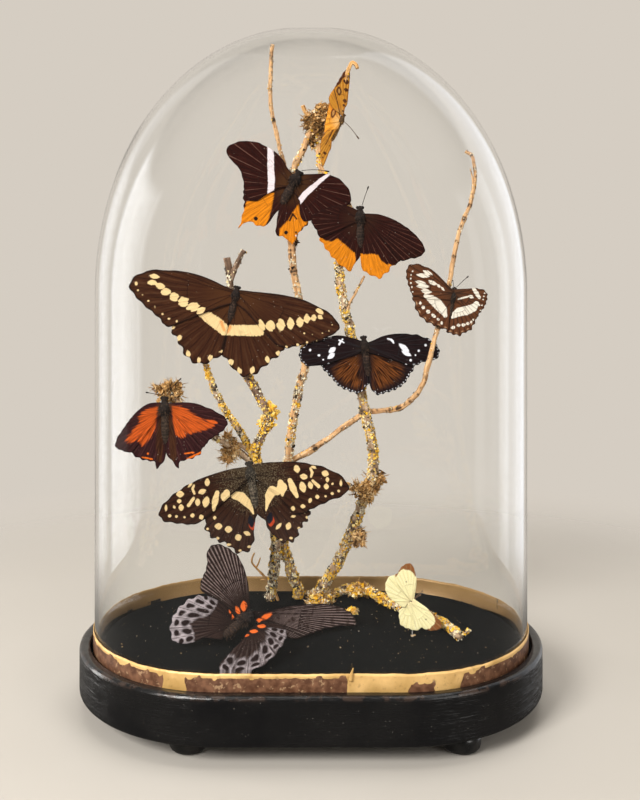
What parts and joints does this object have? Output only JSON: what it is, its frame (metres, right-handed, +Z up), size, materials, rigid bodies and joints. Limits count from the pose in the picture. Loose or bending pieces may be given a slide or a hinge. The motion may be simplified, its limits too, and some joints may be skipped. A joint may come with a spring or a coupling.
{
  "type": "insect display dome",
  "caption": "Mounted butterflies on lichen-covered twigs under an oval glass dome that rests in the groove of a black wooden plinth on bun feet.",
  "frame": {"origin": "middle of the footprint, on the plane of the feet's soles", "axes": "+Z up to the dome's apex, +X to the viewer's right along the oval's long side, +Y to the back"},
  "size_m": [0.2562, 0.1682, 0.374],
  "materials": {
    "ebonised_wood": "black polish over close-grained wood, rubbed along the edges",
    "black_board": "matte black board with dust",
    "foot_lacquer": "glossy black turned wood",
    "dome_glass": "clear blown glass",
    "gilt_paper": "aged gilt paper strip, torn and browned in places",
    "lichen_bark": "grey-brown bark with yellow lichen crust",
    "pale_bark": "pale tan twig bark",
    "pin_steel": "thin setting pin",
    "insect_body": "dry chitin with short dark down",
    "orange_leaf_butterfly_wing": "dry scaled butterfly wing",
    "white_banded_butterfly_wing": "dry scaled butterfly wing",
    "maroon_orange_butterfly_wing": "dry scaled butterfly wing",
    "brown_swallowtail_wing": "dry scaled butterfly wing",
    "sailer_butterfly_wing": "dry scaled butterfly wing",
    "black_spotted_butterfly_wing": "dry scaled butterfly wing",
    "red_maroon_butterfly_wing": "dry scaled butterfly wing",
    "citrus_swallowtail_wing": "dry scaled butterfly wing",
    "great_mormon_wing": "dry scaled butterfly wing",
    "pale_butterfly_wing": "dry scaled butterfly wing"
  },
  "bodies": {
    "root": {"plinth": "ebonised_wood", "floor_board": "black_board", "glass_dome": "dome_glass", "gilt_band": "gilt_paper", "foot_front_left": "foot_lacquer", "foot_front_right": "foot_lacquer", "foot_back_left": "foot_lacquer", "foot_back_right": "foot_lacquer", "left_stem": "lichen_bark", "left_stem_top": "lichen_bark", "lichen_twig": "lichen_bark", "side_branch": "lichen_bark", "middle_stem": "lichen_bark", "middle_stem_top": "lichen_bark", "right_trunk": "lichen_bark", "right_stem_top": "lichen_bark", "cross_branch": "pale_bark", "top_twig": "pale_bark", "fallen_branch": "lichen_bark", "pale_butterfly_pin": "pin_steel", "orange_leaf_butterfly_body": "insect_body", "orange_leaf_butterfly_upper_wings": "orange_leaf_butterfly_wing", "orange_leaf_butterfly_lower_wings": "orange_leaf_butterfly_wing", "white_banded_butterfly_body": "insect_body", "white_banded_butterfly_left_forewing": "white_banded_butterfly_wing", "white_banded_butterfly_left_hindwing": "white_banded_butterfly_wing", "white_banded_butterfly_right_forewing": "white_banded_butterfly_wing", "white_banded_butterfly_right_hindwing": "white_banded_butterfly_wing", "maroon_orange_butterfly_body": "insect_body", "maroon_orange_butterfly_left_wings": "maroon_orange_butterfly_wing", "maroon_orange_butterfly_right_wings": "maroon_orange_butterfly_wing", "brown_swallowtail_body": "insect_body", "brown_swallowtail_left_forewing": "brown_swallowtail_wing", "brown_swallowtail_left_hindwing": "brown_swallowtail_wing", "brown_swallowtail_right_forewing": "brown_swallowtail_wing", "brown_swallowtail_right_hindwing": "brown_swallowtail_wing", "sailer_butterfly_body": "insect_body", "sailer_butterfly_left_wings": "sailer_butterfly_wing", "sailer_butterfly_right_wings": "sailer_butterfly_wing", "black_spotted_butterfly_body": "insect_body", "black_spotted_butterfly_left_forewing": "black_spotted_butterfly_wing", "black_spotted_butterfly_left_hindwing": "black_spotted_butterfly_wing", "black_spotted_butterfly_right_forewing": "black_spotted_butterfly_wing", "black_spotted_butterfly_right_hindwing": "black_spotted_butterfly_wing", "red_maroon_butterfly_body": "insect_body", "red_maroon_butterfly_left_wings": "red_maroon_butterfly_wing", "red_maroon_butterfly_right_wings": "red_maroon_butterfly_wing", "citrus_swallowtail_body": "insect_body", "citrus_swallowtail_left_forewing": "citrus_swallowtail_wing", "citrus_swallowtail_left_hindwing": "citrus_swallowtail_wing", "citrus_swallowtail_right_forewing": "citrus_swallowtail_wing", "citrus_swallowtail_right_hindwing": "citrus_swallowtail_wing", "great_mormon_body": "insect_body", "great_mormon_left_forewing": "great_mormon_wing", "great_mormon_left_hindwing": "great_mormon_wing", "great_mormon_right_forewing": "great_mormon_wing", "great_mormon_right_hindwing": "great_mormon_wing", "pale_butterfly_body": "insect_body", "pale_butterfly_upper_wings": "pale_butterfly_wing", "pale_butterfly_lower_wings": "pale_butterfly_wing"}
  },
  "joints": []
}
